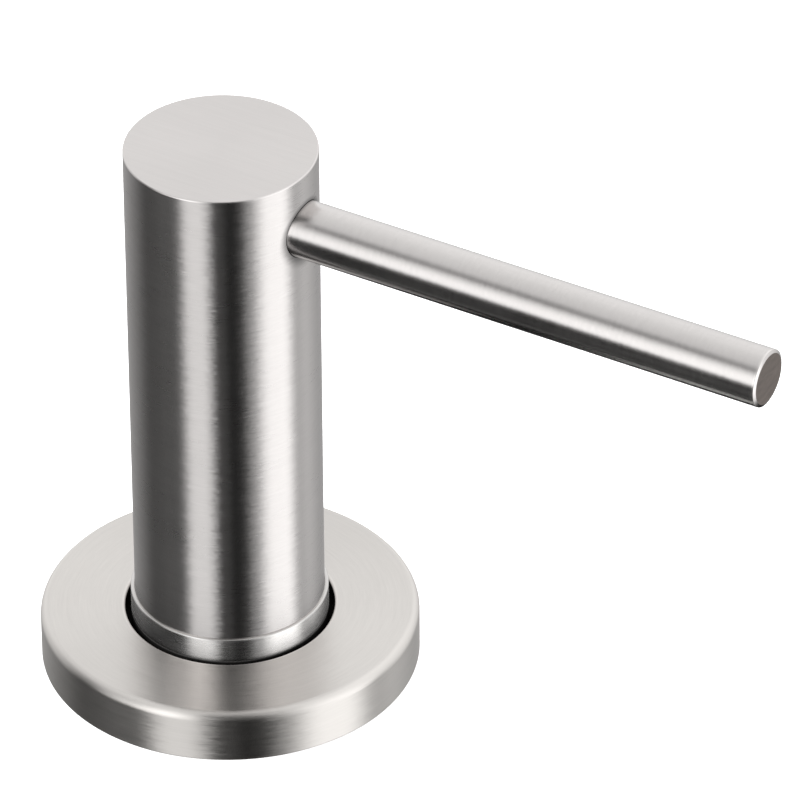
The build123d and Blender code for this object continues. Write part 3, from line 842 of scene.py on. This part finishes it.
def dip_tube_mesh():
    """drawn tube with a slanted lower end"""
    seg, rows, r0, r1 = 64, 60, 2.2, 3.2
    verts, faces = [], []
    zt_, zb_ = -53.8, -197.5
    for shell, r in ((0, r1), (1, r0)):
        for i in range(rows + 1):
            for k in range(seg):
                th = TAU * k / seg
                x, y = r * math.cos(th), r * math.sin(th)
                low = zb_ + x * math.tan(math.radians(35)) * 0.66
                z = low + (zt_ - low) * i / rows
                verts.append((x * MM, y * MM, z * MM))
    n = (rows + 1) * seg
    for i in range(rows):
        for k in range(seg):
            k2 = (k + 1) % seg
            q = (i * seg + k, i * seg + k2, (i + 1) * seg + k2, (i + 1) * seg + k)
            faces.append(q)
            faces.append(tuple(n + v for v in q[::-1]))
    for k in range(seg):
        k2 = (k + 1) % seg
        faces.append((k2, k, n + k, n + k2))
        t0 = rows * seg
        faces.append((t0 + k, t0 + k2, n + t0 + k2, n + t0 + k))
    ob = mesh_object("dip_tube_mesh", verts, faces, M["tube_plastic"])
    ob.data.set_sharp_from_angle(angle=math.radians(35))
    return ob


dip = dip_tube_mesh()
put(dip, "cartridge", "dip_tube", slot="tube_plastic")

def spring_mesh():
    """return spring: round wire wound in seven turns"""
    r, wire, turns, z0, z1 = 5.0, 0.5, 7, -39.98, -12.92
    steps, seg = turns * 48, 12
    rise = (z1 - z0) / (TAU * turns)
    verts, faces = [], []
    for i in range(steps + 1):
        th = TAU * turns * i / steps
        out = Vector((math.cos(th), math.sin(th), 0.0))
        run = Vector((-r * math.sin(th), r * math.cos(th), rise)).normalized()
        up = run.cross(out).normalized() * -1.0
        mid = out * r + Vector((0, 0, z0 + rise * th))
        for k in range(seg):
            a = TAU * k / seg
            verts.append((mid + out * (wire * math.cos(a)) + up * (wire * math.sin(a))) * MM)
    for i in range(steps):
        for k in range(seg):
            k2 = (k + 1) % seg
            faces.append((i * seg + k2, i * seg + k, (i + 1) * seg + k, (i + 1) * seg + k2))
    faces.append(tuple(range(seg)))
    faces.append(tuple(steps * seg + k for k in reversed(range(seg))))
    ob = mesh_object("return_spring_mesh", verts, faces, M["spring_steel"])
    ob.data.set_sharp_from_angle(angle=math.radians(50))
    return ob


spring = spring_mesh()
put(spring, "cartridge", "return_spring", slot=slot_of["return_spring"])
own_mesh(spring)

# spout outlet insert, set back inside the wall, with a funnelled hole
noz_x = 82.0
noz_pts = [(1.2, 76.9), (1.9, 76.9), (1.9, 75.45), (1.6, 75.45), (1.2, 76.2)]
nozzle = lathe("spout_nozzle_mesh", corner_rounds(noz_pts[::-1], [0.1, 0.1, 0.12, 0.1, 0.1], 5), M["nozzle_plastic"], 96,
               origin=(noz_x, 0, 0))
put(nozzle, "head", "spout_nozzle", slot="nozzle_plastic")

# moulded pieces and rings kept from the frame are shaded smooth over their curved walls
for node, ob in frame["nodes"].items():
    if node in ("spout_o_ring", "stem_o_ring", "inlet_check_ball", "outlet_check_ball", "flange_o_ring"):
        for p in ob.data.polygons:
            p.use_smooth = True

# the spout, the flange and the shank are left out of their neighbours' mirror images, which keeps the head's bands clean
for ob in (spout, flange, shank, thr, frame["nodes"]["flange_o_ring"]):
    ob.visible_glossy = False

# =====================================================================  finish
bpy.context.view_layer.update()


def stage_material(nm, c, e):
    mat, g, b = new_material(nm)
    tc = g.new("ShaderNodeTexCoord")
    n = g.noise(g.vmath("SCALE", tc.outputs["Object"], scale=30.0), 1.0, 3.0, 0.6)
    g.link(g.mix(n, tuple(x * 0.97 for x in c), c), b.inputs["Base Color"])
    b.inputs["Roughness"].default_value = 0.9
    b.inputs["Specular IOR Level"].default_value = 0.1
    b.inputs["Emission Color"].default_value = (1, 1, 1, 1)
    b.inputs["Emission Strength"].default_value = e
    return mat


def deck_plate():
    """thin pale deck sample with the hole the dispenser stands in"""
    seg, hole = 128, 17.3
    x0, x1, y0, y1, cr = -62.0, 102.0, -60.0, 60.0, 6.0
    verts, faces = [], []
    out = []
    for k in range(seg):
        th = TAU * k / seg
        dx, dy = math.cos(th), math.sin(th)
        tx = (x1 / dx) if dx > 1e-9 else ((x0 / dx) if dx < -1e-9 else 1e9)
        ty = (y1 / dy) if dy > 1e-9 else ((y0 / dy) if dy < -1e-9 else 1e9)
        t = min(tx, ty)
        out.append((t * dx, t * dy))
    for z, inset in ((-0.02, 0.6), (-0.6, 0.0), (-4.4, 0.0), (-5.0, 0.6)):
        for x, y in out:
            verts.append((x - math.copysign(inset, x) * (abs(x) > 40), y - math.copysign(inset, y) * (abs(y) > 40), z))
    base = len(verts)
    for z in (-0.02, -5.0):
        for k in range(seg):
            th = TAU * k / seg
            verts.append((hole * math.cos(th), hole * math.sin(th), z))
    for i in range(3):
        for k in range(seg):
            k2 = (k + 1) % seg
            faces.append((i * seg + k, (i + 1) * seg + k, (i + 1) * seg + k2, i * seg + k2))
    for k in range(seg):
        k2 = (k + 1) % seg
        faces.append((k, k2, base + k2, base + k))
        faces.append((3 * seg + k2, 3 * seg + k, base + seg + k, base + seg + k2))
        faces.append((base + k, base + k2, base + seg + k2, base + seg + k))
    me = bpy.data.meshes.new("deck_plate")
    me.from_pydata([(x * MM, y * MM, z * MM) for x, y, z in verts], [], faces)
    me.update()
    # the top glows evenly white as a bright floor; the sides are a darker grey copy of it, as painted shade
    me.materials.append(stage_material("deck_top", (0.9, 0.9, 0.9), 0.95))
    me.materials.append(stage_material("deck_side", (0.56, 0.55, 0.54), 0.0))
    for p in me.polygons:
        p.material_index = 0 if p.normal.z > 0.5 else 1
    ob = bpy.data.objects.new("deck_plate", me)
    scene.collection.objects.link(ob)
    ob.visible_glossy = False
    return ob


deck_plate()
fl_me = bpy.data.meshes.new("floor")
fl_me.from_pydata([(x, y, -0.38) for x, y in ((-6, -6), (6, -6), (6, 6), (-6, 6))], [], [(0, 1, 2, 3)])
fl_me.update()
fl_me.materials.append(stage_material("floor_paint", (0.85, 0.85, 0.85), 0.60))
fl = bpy.data.objects.new("floor", fl_me)
scene.collection.objects.link(fl)
fl.visible_glossy = False
